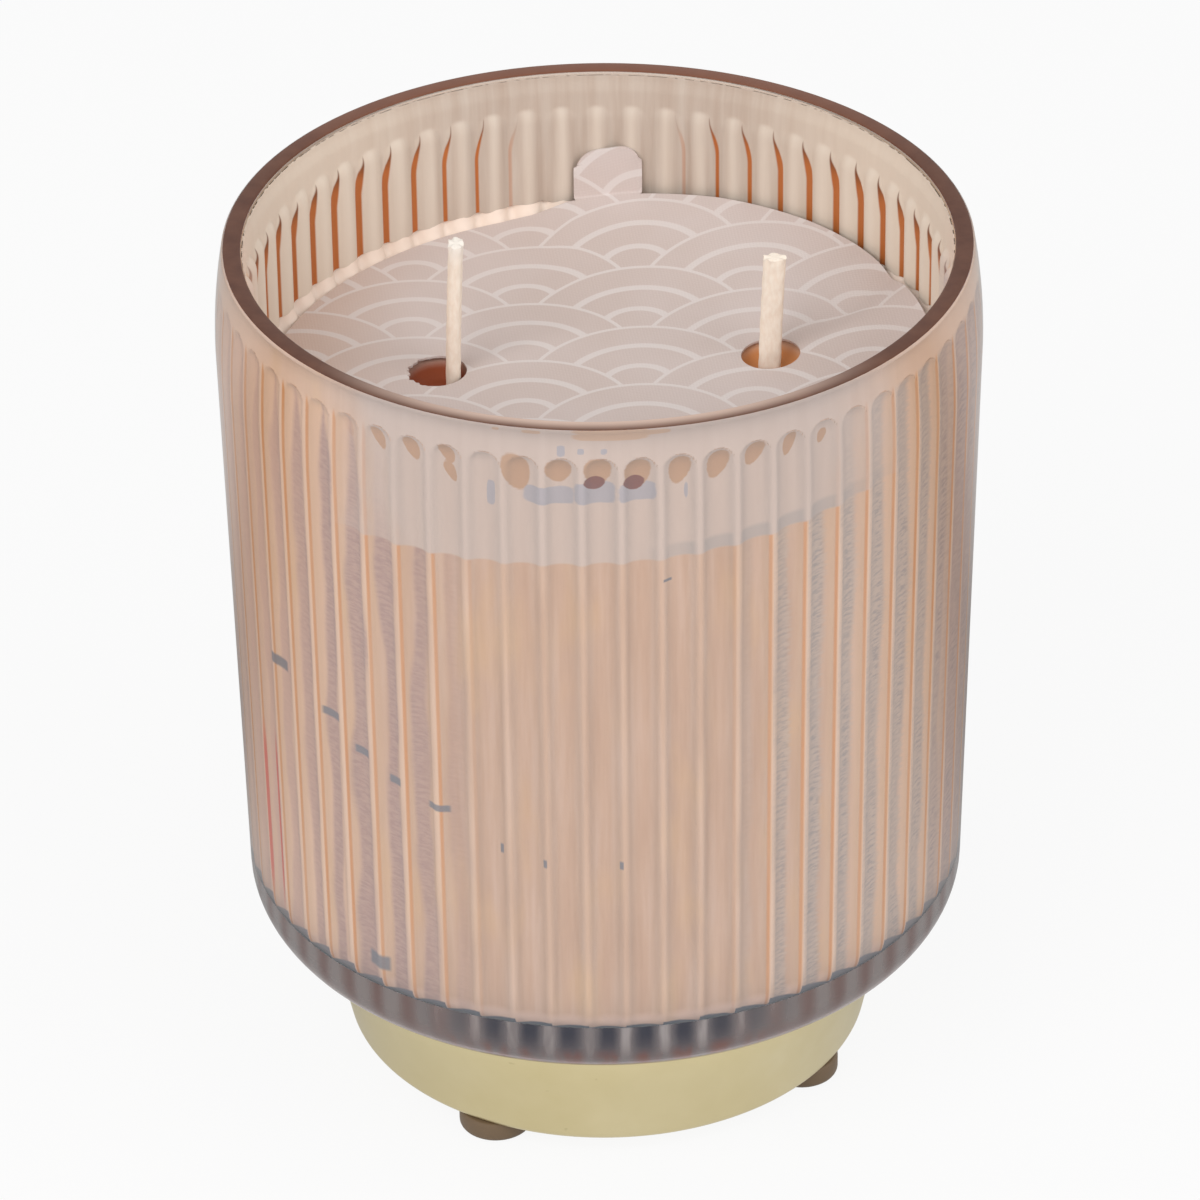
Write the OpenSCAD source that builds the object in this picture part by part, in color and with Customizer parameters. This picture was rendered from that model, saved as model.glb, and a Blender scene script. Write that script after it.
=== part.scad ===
// Two-wick container candle: a glass jar with a reeded bore, filled with wax, glued on a
// low metal pedestal with four bumper feet, its wax kept clean by a loose paper dust cover.
// The axis is Z, the feet stand on z = 0, and the front of the candle faces -Y.

/* [Glass jar] */
// Widest diameter of the glass, at its shoulder
glass_d = 100; // [84:1:130]
// Height of the glass, from its underside to its rim
glass_h = 100; // [80:1:130]
// Width of the flat ground face on the rim
rim_wall = 2.6; // [2:0.1:3.5]
// How far the rim stands inside the widest radius
rim_inset = 1.3; // [0.6:0.1:2.5]
// Bevel on both edges of the rim
rim_bevel = 0.3; // [0.1:0.1:0.6]
// Height of the curved shoulder under the rim
shoulder_h = 14; // [8:1:22]
// How much the wall closes in from the shoulder to the foot, on the radius
wall_taper = 1.1; // [0:0.1:2]
// Radius of the outer corner at the foot of the glass
corner_r = 8; // [4:0.5:12]
// Radius of the inner corner round the glass floor
inner_corner_r = 3; // [1:0.5:6]
// Thickness of the glass floor
floor_t = 7; // [4:0.5:12]

/* [Ribs in the bore] */
// Number of ribs round the bore
rib_count = 60; // [40:1:72]
// How far a rib stands into the bore
rib_depth = 1.2; // [0.6:0.1:1.6]
// Radius of a rib's round face
rib_r = 2.3; // [1.8:0.1:2.6]
// Plain band between the rim and the round tips of the ribs
plain_band = 4.8; // [2:0.2:10]

/* [Wax] */
// Depth of the wax surface below the rim, on the axis
head_space = 21; // [14:0.5:40]
// Tilt of the set wax surface, rising towards +X, in degrees
wax_tilt = 2.5; // [0:0.5:4]
// Gap between the wax and whatever it is poured round
wax_gap = 0.05; // [0.02:0.01:0.2]

/* [Wicks] */
// Distance between the two wicks
wick_spacing = 41.5; // [34:0.5:50]
// How far the pair of wicks stands off the axis, along X
wick_shift = 1.5; // [0:0.1:3]
// How far the pair of wicks stands off the axis, along Y
wick_y = 2.6; // [0:0.1:4]
// Width of the flat braid
wick_w = 3; // [2.4:0.1:4]
// Thickness of the flat braid
wick_t = 2; // [1.4:0.1:2.2]
// Free length of the left wick above the wax
left_wick_free = 20; // [6:0.5:30]
// Free length of the right wick above the wax
right_wick_free = 15.5; // [6:0.5:30]
// Diameter of the tin tab that holds a wick at its foot
wick_tab_d = 20; // [14:0.5:24]
// Thickness of the tin
wick_tab_t = 0.3; // [0.2:0.05:0.6]
// Height of the tab's crimped neck
wick_neck_h = 5.5; // [3:0.5:9]
// Gap between a wick and the neck that holds it
neck_gap = 0.05; // [0.02:0.01:0.2]
// Diameter of the sticky pad under a wick tab
sticker_d = 18; // [12:0.5:22]
// Thickness of the sticky pad
sticker_t = 0.8; // [0.4:0.1:1.5]

/* [Dust cover] */
// Gap between the edge of the paper and the ribs
cover_edge_gap = 0.6; // [0.4:0.1:3]
// Thickness of the paper
cover_t = 0.4; // [0.2:0.05:0.8]
// Gap under the paper where it lies on the wax
cover_seat_gap = 0.3; // [0.1:0.05:0.6]
// Diameter of the holes for the wicks
cover_hole_d = 7.8; // [7.4:0.1:10]
// How far each hole is punched outside its wick
hole_spread = 1.15; // [0:0.05:1.2]
// How far the cover has slipped towards -X
cover_slip = 0.9; // [0:0.1:1]
// How far the holes lie behind the wicks
hole_back = 0.6; // [0:0.1:0.8]
// Width of the pull tab that is folded up at the back
pull_tab_w = 8.7; // [7:0.1:14]
// Height of the folded pull tab
pull_tab_h = 7.6; // [5:0.1:14]
// Radius of the pull tab's two free corners
pull_tab_corner_r = 3; // [1:0.1:3.2]
// How far the pull tab stands off the middle, along X
pull_tab_x = 1.4; // [-3:0.1:3]
// How far the fold of the pull tab lies inside the edge of the paper
fold_inset = 0.4; // [0.2:0.1:2]

/* [Pedestal] */
// Height of the metal pedestal
pedestal_h = 18.6; // [10:0.2:30]
// How far its top edge stands inside the flat underside of the glass
pedestal_inset = 1.3; // [0.4:0.1:5]
// How much it closes in from top to bottom, on the radius
pedestal_flare = 3.9; // [0:0.1:8]
// Thickness of the sheet metal
sheet_t = 1; // [0.6:0.1:1.5]
// Width of the turned-in flange that carries the glass
flange_w = 5; // [3:0.5:10]
// Radius of the pedestal's bottom edge
pedestal_edge_r = 1.8; // [1:0.1:4]
// Thickness of the glue between flange and glass
glue_t = 0.4; // [0.2:0.05:0.8]
// How far the glue stays back from the edges of the flange
glue_margin = 0.8; // [0.3:0.1:1.2]

/* [Feet] */
// Diameter of a bumper foot
foot_d = 10; // [6:0.5:12]
// Height of a bumper foot
foot_h = 3; // [1.5:0.1:6]
// Bevel on a foot's bottom edge
foot_bevel = 0.7; // [0.3:0.1:1.2]
// How far a foot stays back from the pedestal's bottom edge
foot_inset = 0.2; // [0:0.1:3]
// Turn of the first foot from the front, in degrees
foot_turn = -30; // [-45:1:45]

/* [Hidden] */
$fn = 96;

// Sides of the pair of wicks, and quarter turns of the feet in the order of their names
LEFT = -1;
RIGHT = 1;
FRONT_LEFT = 0;
FRONT_RIGHT = 1;
BACK_RIGHT = 2;
BACK_LEFT = 3;
// Overshoot of a cutting solid past the face that it cuts
cut = 1;

// Heights of the stack, from the floor up
pedestal_z = foot_h;
glue_z = pedestal_z + pedestal_h;
glass_z = glue_z + glue_t;
bore_z = glass_z + floor_t;
rim_z = glass_z + glass_h;
shoulder_z = rim_z - shoulder_h;
rib_tip_z = rim_z - plain_band;
wax_z = rim_z - head_space;
wick_tab_z = bore_z + sticker_t;

// Radii of the glass
glass_r = glass_d / 2;
rim_r = glass_r - rim_inset;
bore_r = rim_r - rim_wall;
glass_foot_r = glass_r - wall_taper;
glass_flat_r = glass_foot_r - corner_r;
shoulder_r = (shoulder_h * shoulder_h + rim_inset * rim_inset) / (2 * rim_inset);
rib_axis_r = bore_r - rib_depth + rib_r;
cover_r = bore_r - rib_depth - cover_edge_gap;

// Radii of the pedestal and its feet
pedestal_top_r = glass_flat_r - pedestal_inset;
pedestal_foot_r = pedestal_top_r - pedestal_flare;
foot_ring_r = pedestal_foot_r - foot_inset - foot_d / 2;

// Outside radius of the shoulder at height z
function shoulder_at(z) = glass_r - shoulder_r + sqrt(shoulder_r * shoulder_r - pow(z - shoulder_z, 2));
function wick_x(side) = wick_shift + side * wick_spacing / 2;
function hole_x(side) = wick_x(side) + side * hole_spread - cover_slip;
function wax_height_at(x) = wax_z + x * tan(wax_tilt);
// Top of a wick, measured from the wax where it comes out
function wick_top(side) = wax_height_at(wick_x(side)) + (side == LEFT ? left_wick_free : right_wick_free);
// The left braid turns its edge to the front, the right one its flat
function wick_turn(side) = side == LEFT ? 90 : 0;

// Half section of the jar with no bore: foot corner, tapered wall, curved shoulder, bevelled rim
module jar_section() {
    bevel_z = rim_z - rim_bevel;
    bevel_r = shoulder_at(bevel_z);
    corner_z = glass_z + corner_r;
    polygon([
        [0, glass_z], [glass_flat_r, glass_z], [glass_foot_r, corner_z],
        [glass_r, shoulder_z], [0, shoulder_z]
    ]);
    intersection() {
        translate([glass_flat_r, corner_z]) circle(r = corner_r);
        translate([0, glass_z]) square([glass_foot_r, 2 * corner_r]);
    }
    intersection() {
        translate([glass_r - shoulder_r, shoulder_z]) circle(r = shoulder_r, $fn = 360);
        translate([0, shoulder_z]) square([glass_r, bevel_z - shoulder_z]);
    }
    polygon([[0, bevel_z], [bevel_r, bevel_z], [bevel_r - rim_bevel, rim_z], [0, rim_z]]);
}

// Half section of the bore, with its inner corner, kept gap inside the glass
module bore_section(gap) {
    r = bore_r - gap;
    z = bore_z;
    round_r = inner_corner_r;
    translate([0, z]) square([r - round_r, rim_z + cut - z]);
    translate([0, z + round_r]) square([r, rim_z + cut - z - round_r]);
    intersection() {
        translate([r - round_r, z + round_r]) circle(r = round_r);
        translate([0, z]) square([r, round_r + cut]);
    }
}

// One rib of the bore: a round bar with a domed tip, grown by gap, that starts in the floor
module rib_bar(gap) {
    r = rib_r + gap;
    straight_h = rib_tip_z - rib_r - glass_z;
    translate([0, 0, glass_z]) rotate_extrude($fn = 48) {
        square([r, straight_h]);
        translate([0, straight_h]) intersection() {
            circle(r = r);
            square(r);
        }
    }
}

// The room inside the jar: the bore less its ribs
module bore_space(gap) {
    difference() {
        rotate_extrude() bore_section(gap);
        for (i = [0 : rib_count - 1])
            rotate(i * 360 / rib_count) translate([0, rib_axis_r, 0]) rib_bar(gap);
    }
}

// Everything below the set surface of the wax
module below_wax() {
    reach = glass_d;
    translate([0, 0, wax_z]) rotate([0, -wax_tilt, 0])
        translate([-reach, -reach, -2 * glass_h]) cube([2 * reach, 2 * reach, 2 * glass_h]);
}

// Section of the flat braid, grown by gap
module braid_section(gap) {
    flat = wick_w - wick_t;
    thick = wick_t + 2 * gap;
    square([flat, thick], center = true);
    for (s = [LEFT, RIGHT])
        translate([s * flat / 2, 0]) circle(d = thick, $fn = 48);
}

// Places its children on a wick's line, turned as the braid is
module on_wick(side) {
    translate([wick_x(side), wick_y, 0]) rotate(wick_turn(side)) children();
}

module glass_jar() {
    color([0.86, 0.74, 0.64, 0.5]) difference() {
        rotate_extrude() jar_section();
        bore_space(0);
        translate([0, 0, rim_z - rim_bevel])
            cylinder(r1 = bore_r, r2 = bore_r + 2 * rim_bevel, h = 2 * rim_bevel);
    }
}

module wax_fill() {
    color([0.86, 0.74, 0.64]) difference() {
        intersection() {
            bore_space(wax_gap);
            below_wax();
        }
        for (side = [LEFT, RIGHT]) on_wick(side) {
            translate([0, 0, bore_z - cut])
                cylinder(d = sticker_d + 2 * wax_gap, h = cut + sticker_t + wax_gap);
            translate([0, 0, wick_tab_z - wax_gap])
                cylinder(d = wick_tab_d + 2 * wax_gap, h = wick_tab_t + 2 * wax_gap);
            translate([0, 0, wick_tab_z])
                linear_extrude(wick_neck_h + wax_gap) braid_section(neck_gap + wick_tab_t + wax_gap);
            translate([0, 0, wick_tab_z]) linear_extrude(glass_h) braid_section(wax_gap);
        }
    }
}

module wick(side) {
    color([0.93, 0.87, 0.78]) on_wick(side)
        translate([0, 0, wick_tab_z]) linear_extrude(wick_top(side) - wick_tab_z) braid_section(0);
}

// Tin tab: a flat disc with a neck crimped round the wick
module wick_tab(side) {
    color([0.75, 0.76, 0.78]) on_wick(side) translate([0, 0, wick_tab_z]) difference() {
        union() {
            cylinder(d = wick_tab_d, h = wick_tab_t);
            linear_extrude(wick_neck_h) braid_section(neck_gap + wick_tab_t);
        }
        translate([0, 0, -cut]) linear_extrude(wick_neck_h + 2 * cut) braid_section(neck_gap);
    }
}

module wick_sticker(side) {
    color([0.95, 0.95, 0.92]) on_wick(side) translate([0, 0, bore_z]) cylinder(d = sticker_d, h = sticker_t);
}

// Outline of the pull tab, standing up from its fold
module pull_tab_outline() {
    corner_x = pull_tab_w / 2 - pull_tab_corner_r;
    corner_y = pull_tab_h - pull_tab_corner_r;
    translate([-pull_tab_w / 2, 0]) square([pull_tab_w, corner_y]);
    translate([-corner_x, 0]) square([2 * corner_x, pull_tab_h]);
    for (s = [LEFT, RIGHT])
        translate([s * corner_x, corner_y]) intersection() {
            circle(r = pull_tab_corner_r);
            translate([-pull_tab_corner_r, 0]) square([2 * pull_tab_corner_r, pull_tab_corner_r]);
        }
}

// Paper disc on the wax, with two wick holes and a pull tab folded up at its back edge
module dust_cover() {
    tab_reach = abs(pull_tab_x) + pull_tab_w / 2;
    tab_y = sqrt(cover_r * cover_r - tab_reach * tab_reach) - fold_inset;
    color([0.81, 0.73, 0.70]) translate([0, 0, wax_z]) rotate([0, -wax_tilt, 0])
        translate([0, 0, cover_seat_gap]) {
            difference() {
                cylinder(r = cover_r, h = cover_t);
                for (side = [LEFT, RIGHT])
                    translate([hole_x(side), wick_y + hole_back, -cut])
                        cylinder(d = cover_hole_d, h = cover_t + 2 * cut);
            }
            translate([pull_tab_x, tab_y, 0]) rotate([90, 0, 0]) linear_extrude(cover_t) pull_tab_outline();
        }
}

// Half section of the pedestal's outside, grown inwards by inset
module pedestal_section(inset) {
    low = pedestal_z + inset;
    high = pedestal_z + pedestal_h - inset;
    edge_r = pedestal_edge_r - min(inset, pedestal_edge_r / 2);
    low_r = pedestal_foot_r - inset;
    high_r = pedestal_top_r - inset;
    polygon([
        [0, low], [low_r - edge_r, low], [low_r, low + edge_r],
        [high_r, high], [0, high]
    ]);
    intersection() {
        translate([low_r - edge_r, low + edge_r]) circle(r = edge_r);
        translate([0, low]) square([low_r, 2 * edge_r]);
    }
}

// Drawn metal cup: closed bottom, flared wall, top edge turned in as a flange
module pedestal_cup() {
    color([0.80, 0.73, 0.48]) rotate_extrude() difference() {
        pedestal_section(0);
        pedestal_section(sheet_t);
        translate([0, glue_z - sheet_t - cut]) square([pedestal_top_r - flange_w, sheet_t + 2 * cut]);
    }
}

module pedestal_glue_ring() {
    color([0.90, 0.90, 0.86]) translate([0, 0, glue_z]) difference() {
        cylinder(r = pedestal_top_r - glue_margin, h = glue_t);
        translate([0, 0, -cut])
            cylinder(r = pedestal_top_r - flange_w + glue_margin, h = glue_t + 2 * cut);
    }
}

// Bumper foot stuck under the pedestal, a quarter turn on from the one before it
module foot(quarter) {
    r = foot_d / 2;
    color([0.49, 0.42, 0.34]) rotate(foot_turn + 90 * quarter) translate([0, -foot_ring_r, 0])
        rotate_extrude($fn = 48)
            polygon([[0, 0], [r - foot_bevel, 0], [r, foot_bevel], [r, foot_h], [0, foot_h]]);
}

glass_jar();
wax_fill();
wick(LEFT);  // wick_left
wick(RIGHT);  // wick_right
wick_tab(LEFT);  // wick_tab_left
wick_tab(RIGHT);  // wick_tab_right
wick_sticker(LEFT);  // wick_sticker_left
wick_sticker(RIGHT);  // wick_sticker_right
dust_cover();
pedestal_cup();
pedestal_glue_ring();
foot(FRONT_LEFT);  // foot_front_left
foot(FRONT_RIGHT);  // foot_front_right
foot(BACK_RIGHT);  // foot_back_right
foot(BACK_LEFT);  // foot_back_left
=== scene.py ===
"""Looks of a two-wick container candle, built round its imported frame: metres, +Z up, front towards -Y."""
import math

import bpy
import numpy as np
from mathutils import Matrix, Vector
from mathutils.geometry import delaunay_2d_cdt


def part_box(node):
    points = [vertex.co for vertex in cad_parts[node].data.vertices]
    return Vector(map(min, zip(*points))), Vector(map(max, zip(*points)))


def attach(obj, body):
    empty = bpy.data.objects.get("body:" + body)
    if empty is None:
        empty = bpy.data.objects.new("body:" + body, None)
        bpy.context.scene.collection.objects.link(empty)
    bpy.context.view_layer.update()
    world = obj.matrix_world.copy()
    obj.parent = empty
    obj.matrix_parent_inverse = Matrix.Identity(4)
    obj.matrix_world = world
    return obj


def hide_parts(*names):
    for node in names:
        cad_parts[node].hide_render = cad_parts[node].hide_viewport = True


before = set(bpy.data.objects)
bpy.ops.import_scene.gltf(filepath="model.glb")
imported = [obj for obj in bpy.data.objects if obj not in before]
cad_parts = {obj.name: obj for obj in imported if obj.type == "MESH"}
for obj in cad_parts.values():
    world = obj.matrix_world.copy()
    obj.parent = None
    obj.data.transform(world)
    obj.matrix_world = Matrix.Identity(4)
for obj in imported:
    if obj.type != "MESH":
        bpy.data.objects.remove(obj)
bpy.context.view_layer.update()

MM = 0.001
TAU = 2 * math.pi

# Sizes read from the frame
GLASS_LOW, GLASS_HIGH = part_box("glass_jar")
GLASS_Z = GLASS_LOW[2]
RIM_Z = GLASS_HIGH[2]
GLASS_R = GLASS_HIGH[0]
WAX_LOW, WAX_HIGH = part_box("wax_fill")
BORE_Z = WAX_LOW[2]
CUP_LOW, CUP_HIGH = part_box("pedestal_cup")
CUP_TOP_R = CUP_HIGH[0]

# Glass jar
RIM_INSET = 1.3 * MM
RIM_WALL = 2.6 * MM
RIM_BEVEL = 0.45 * MM
SHOULDER_H = 14 * MM
WALL_TAPER = 1.6 * MM
CORNER_R = 6.5 * MM
INNER_CORNER_R = 3 * MM
BAND_TOP_Z = GLASS_Z + 9.2 * MM
BORE_R = GLASS_R - RIM_INSET - RIM_WALL

# Ribs in the bore
RIB_COUNT = 60
RIB_DEPTH = 1.2 * MM
RIB_R = 2.3 * MM
RIB_TIP_Z = RIM_Z - 4.8 * MM
RIB_BLEND = 0.35 * MM
RIB_AXIS_R = BORE_R - RIB_DEPTH + RIB_R
RIB_TIP_MM = RIB_TIP_Z / MM
BORE_FLOOR_MM = BORE_Z / MM

# Mesh density round the axis
STEPS_PER_RIB = 20
FINE = RIB_COUNT * STEPS_PER_RIB
COARSE = FINE // 4

# Wax
WAX_Z = RIM_Z - 21 * MM
WAX_SLOPE = math.tan(math.radians(2.5))
WAX_OVERLAP = 0.03 * MM
WAX_LIP = 0.9 * MM
FILM_EVEN_Z = 110 * MM
FILM_OVERLAP = 0.02 * MM
FILM_T = 0.12 * MM
POOL_SHARE = 0.4
WELL_R = 4.6 * MM
WELL_DEPTH = 2.2 * MM

# Dust cover, flat
COVER_R = 43.9 * MM
COVER_T = 0.3 * MM
COVER_LIE = 0.12 * MM
HOLE_R = 3.9 * MM
HOLES = ((-21.3 * MM, 3.2 * MM), (22.5 * MM, 3.2 * MM))
TAB_LEFT = -2.9 * MM
TAB_RIGHT = 5.8 * MM
TAB_LONG = 7.6 * MM
TAB_CORNER_R = 3 * MM
FOLD_R = 0.6 * MM
FOLD_ANGLE = math.radians(88)
SHEET_SPAN = 110 * MM

# Stage
FLOOR_IN_MIRROR = 0.25


def smooth_step(low, high, x):
    t = np.clip((x - low) / (high - low), 0.0, 1.0)
    return t * t * (3 - 2 * t)


def smooth_min(a, b, k):
    h = np.clip(0.5 + 0.5 * (b - a) / k, 0.0, 1.0)
    return b + (a - b) * h - k * h * (1 - h)


def new_mesh_object(name, verts, faces, material, sharp_deg=None):
    """A smooth-shaded mesh object in the frame's own coordinates."""
    mesh = bpy.data.meshes.new(name)
    mesh.from_pydata([tuple(v) for v in verts], [], faces)
    mesh.update()
    mesh.polygons.foreach_set("use_smooth", [True] * len(mesh.polygons))
    if sharp_deg is not None:
        mesh.set_sharp_from_angle(angle=math.radians(sharp_deg))
    mesh.materials.append(material)
    obj = bpy.data.objects.new(name, mesh)
    bpy.context.collection.objects.link(obj)
    return obj


class RingStack:
    """A closed skin from rings round the axis; a ring may have several times its neighbour's points."""

    def __init__(self):
        self.verts = []
        self.faces = []
        self.last = None

    def add(self, points):
        start = len(self.verts)
        self.verts.extend(points)
        ring = list(range(start, start + len(points)))
        if self.last is not None:
            self.join(self.last, ring)
        self.last = ring

    def join(self, a, b):
        if len(a) == 1 or len(b) == 1:
            self.fan(a, b)
        elif len(a) == len(b):
            n = len(a)
            self.faces += [(a[i], a[(i + 1) % n], b[(i + 1) % n], b[i]) for i in range(n)]
        elif len(a) > len(b):
            self.thin(a, b, False)
        else:
            self.thin(b, a, True)

    def fan(self, a, b):
        if len(a) == 1:
            n = len(b)
            self.faces += [(a[0], b[(i + 1) % n], b[i]) for i in range(n)]
        else:
            n = len(a)
            self.faces += [(a[i], a[(i + 1) % n], b[0]) for i in range(n)]

    def thin(self, fine, coarse, flip):
        ratio = len(fine) // len(coarse)
        half = ratio // 2
        n = len(fine)
        for j, c in enumerate(coarse):
            c_next = coarse[(j + 1) % len(coarse)]
            run = [fine[(j * ratio + i) % n] for i in range(ratio + 1)]
            tris = [(run[i], run[i + 1], c) for i in range(half)]
            tris += [(run[i], run[i + 1], c_next) for i in range(half, ratio)]
            tris.append((run[half], c_next, c))
            self.faces += [t[::-1] for t in tris] if flip else tris


def even_angles(count):
    return np.arange(count) * TAU / count


def rib_angles():
    """Angles of the fine rings: closer together where a rib meets its grooves."""
    t = np.linspace(-1, 1, STEPS_PER_RIB, endpoint=False)
    share = t + 0.16 * np.sin(TAU * t) * np.cos(math.pi * t / 2)
    offsets = share * 0.5 * TAU / RIB_COUNT
    ribs = np.arange(RIB_COUNT) * TAU / RIB_COUNT + TAU / 4
    return (ribs[:, None] + offsets[None, :]).ravel()


FINE_ANGLES = rib_angles()


def ring_points(radius, z, angles):
    r = np.broadcast_to(radius, angles.shape)
    h = np.broadcast_to(z, angles.shape)
    return np.stack([r * np.cos(angles), r * np.sin(angles), h], axis=1).tolist()


def arc(cx, cz, r, start_deg, end_deg, steps):
    """Points of an arc in a half section, as (radius, height)."""
    a = np.radians(np.linspace(start_deg, end_deg, steps))
    return [(cx + r * math.cos(t), cz + r * math.sin(t)) for t in a]


def rib_surface_r(z, angles):
    """Radius of the ribbed bore: domed rib tips, soft grooves, and a rounded corner where the ribs fade."""
    z = np.broadcast_to(z, angles.shape)
    from_rib = (angles - TAU / 4 + 0.5 * TAU / RIB_COUNT) % (TAU / RIB_COUNT) - 0.5 * TAU / RIB_COUNT
    rise = np.clip(z - (RIB_TIP_Z - RIB_R), 0.0, RIB_R)
    section_r = np.sqrt(RIB_R ** 2 - rise ** 2)
    side = np.abs(RIB_AXIS_R * np.sin(from_rib))
    inside = np.sqrt(np.maximum(section_r ** 2 - side ** 2, 0.0))
    rib = RIB_AXIS_R * np.cos(from_rib) - inside + 4 * np.maximum(side - section_r, 0.0)
    blend = np.maximum(RIB_BLEND * np.minimum(1.0, (RIB_R - rise) / (0.3 * RIB_R)), 1e-6)
    wall = np.where(rise < RIB_R, smooth_min(np.full(angles.shape, BORE_R), rib, blend), BORE_R)
    middle_r = BORE_R - 0.5 * RIB_DEPTH
    kept = 0.4 + 0.6 * smooth_step(BORE_Z, BORE_Z + 2 * INNER_CORNER_R, z)
    below = np.maximum(INNER_CORNER_R - (z - BORE_Z), 0.0)
    corner = np.sqrt(np.maximum(INNER_CORNER_R ** 2 - below ** 2, 0.0)) - INNER_CORNER_R
    return middle_r + kept * (wall - middle_r) + corner


def corner_heights(steps):
    a = np.linspace(0.5 * math.pi, 0.04 * math.pi, steps)
    return [BORE_Z + INNER_CORNER_R * (1 - math.cos(t)) for t in a]


# Materials


def new_material(name):
    mat = bpy.data.materials.new(name)
    mat.use_nodes = True
    mat.node_tree.nodes.clear()
    return mat


class Nodes:
    """Short calls for building a node tree."""

    def __init__(self, owner):
        self.owner = owner
        self.tree = owner.node_tree

    def add(self, kind, **settings):
        node = self.tree.nodes.new(kind)
        for key, value in settings.items():
            setattr(node, key, value)
        return node

    def link(self, a, b):
        self.tree.links.new(a, b)

    def set_or_link(self, socket, value):
        if isinstance(value, (int, float)):
            socket.default_value = value
        elif isinstance(value, tuple):
            socket.default_value = (*value, 1.0)
        else:
            self.link(value, socket)

    def math(self, operation, a, b=None, c=None):
        node = self.add("ShaderNodeMath", operation=operation)
        for socket, value in zip(node.inputs, (a, b, c)):
            if value is not None:
                self.set_or_link(socket, value)
        return node.outputs[0]

    def times(self, *factors):
        total = factors[0]
        for factor in factors[1:]:
            total = self.math("MULTIPLY", total, factor)
        return total

    def plus(self, a, b):
        return self.math("ADD", a, b)

    def minus(self, a, b):
        return self.math("SUBTRACT", a, b)

    def scaled(self, value, factor, offset):
        return self.math("MULTIPLY_ADD", value, factor, offset)

    def larger(self, a, b):
        return self.math("MAXIMUM", a, b)

    def length(self, x, y):
        return self.math("SQRT", self.scaled(x, x, self.times(y, y)))

    def mask(self, value, low, high):
        """0 below low and 1 above high (or the reverse if low is the larger)."""
        node = self.add("ShaderNodeMapRange", interpolation_type="SMOOTHSTEP")
        node.inputs["From Min"].default_value = min(low, high)
        node.inputs["From Max"].default_value = max(low, high)
        node.inputs["To Min"].default_value = 0.0 if low < high else 1.0
        node.inputs["To Max"].default_value = 1.0 if low < high else 0.0
        self.link(value, node.inputs["Value"])
        return node.outputs["Result"]

    def band(self, value, centre, half, soft):
        """1 within half of centre, falling to 0 over soft."""
        off = self.math("ABSOLUTE", self.minus(value, centre))
        return self.mask(off, half + soft, half)

    def coords(self):
        return self.add("ShaderNodeTexCoord").outputs["Object"]

    def separate(self, vector):
        node = self.add("ShaderNodeSeparateXYZ")
        self.link(vector, node.inputs[0])
        return node.outputs

    def combine(self, x, y, z):
        node = self.add("ShaderNodeCombineXYZ")
        for socket, value in zip(node.inputs, (x, y, z)):
            self.set_or_link(socket, value)
        return node.outputs[0]

    def stretched(self, vector, factors):
        return self.combine(*[self.times(c, f) for c, f in zip(self.separate(vector), factors)])

    def attribute(self, name):
        return self.add("ShaderNodeAttribute", attribute_name=name).outputs["Fac"]

    def noise(self, vector, scale, detail=3.0, rough=0.5):
        node = self.add("ShaderNodeTexNoise")
        node.inputs["Scale"].default_value = scale
        node.inputs["Detail"].default_value = detail
        node.inputs["Roughness"].default_value = rough
        self.link(vector, node.inputs["Vector"])
        return node.outputs["Fac"]

    def ramp(self, factor, stops):
        node = self.add("ShaderNodeValToRGB")
        elements = node.color_ramp.elements
        while len(elements) < len(stops):
            elements.new(0.5)
        for element, (place, colour) in zip(elements, stops):
            element.position = place
            element.color = (*colour, 1.0)
        self.link(factor, node.inputs["Fac"])
        return node.outputs["Color"]

    def mix(self, factor, a, b):
        node = self.add("ShaderNodeMix", data_type="RGBA")
        for socket, value in zip((node.inputs[0], node.inputs[6], node.inputs[7]), (factor, a, b)):
            self.set_or_link(socket, value)
        return node.outputs[2]

    def bump(self, height, strength, distance):
        node = self.add("ShaderNodeBump")
        node.inputs["Strength"].default_value = strength
        node.inputs["Distance"].default_value = distance
        self.link(height, node.inputs["Height"])
        return node.outputs["Normal"]

    def principled(self, colour, settings, normal=None):
        node = self.add("ShaderNodeBsdfPrincipled")
        self.set_or_link(node.inputs["Base Color"], colour)
        for name, value in settings.items():
            self.set_or_link(node.inputs[name], value)
        if normal is not None:
            self.link(normal, node.inputs["Normal"])
        return node.outputs[0]

    def mix_shader(self, factor, a, b):
        node = self.add("ShaderNodeMixShader")
        for socket, value in zip(node.inputs, (factor, a, b)):
            self.link(value, socket)
        return node.outputs[0]

    def output(self, surface, volume=None):
        """Sets what the material shows, and returns the material."""
        node = self.add("ShaderNodeOutputMaterial")
        self.link(surface, node.inputs["Surface"])
        if volume is not None:
            self.link(volume, node.inputs["Volume"])
        return self.owner


def linear(r, g, b):
    """A colour written in 0 to 255 display values, as linear light."""
    def one(c):
        c = c / 255
        return c / 12.92 if c <= 0.04045 else ((c + 0.055) / 1.055) ** 2.4
    return (one(r), one(g), one(b))


def rib_places(n, coords):
    """Where a point lies among the ribs, as sockets: azimuth from the front in degrees, place across its
    rib from -1 to 1, the same counted towards the jar's sides, and how far sideways the wall faces."""
    x, y, _ = n.separate(coords)
    azimuth = n.times(n.math("ARCTAN2", x, n.times(y, -1)), 360 / TAU)
    turns = n.math("FRACT", n.scaled(azimuth, RIB_COUNT / 360, 0.5))
    across = n.scaled(turns, 2, -1)
    outward = n.times(across, n.math("SIGN", n.math("SINE", n.times(azimuth, 2 * TAU / 360))))
    sideways = n.math("ABSOLUTE", n.math("SINE", n.times(azimuth, TAU / 360)))
    return azimuth, across, outward, sideways


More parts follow.
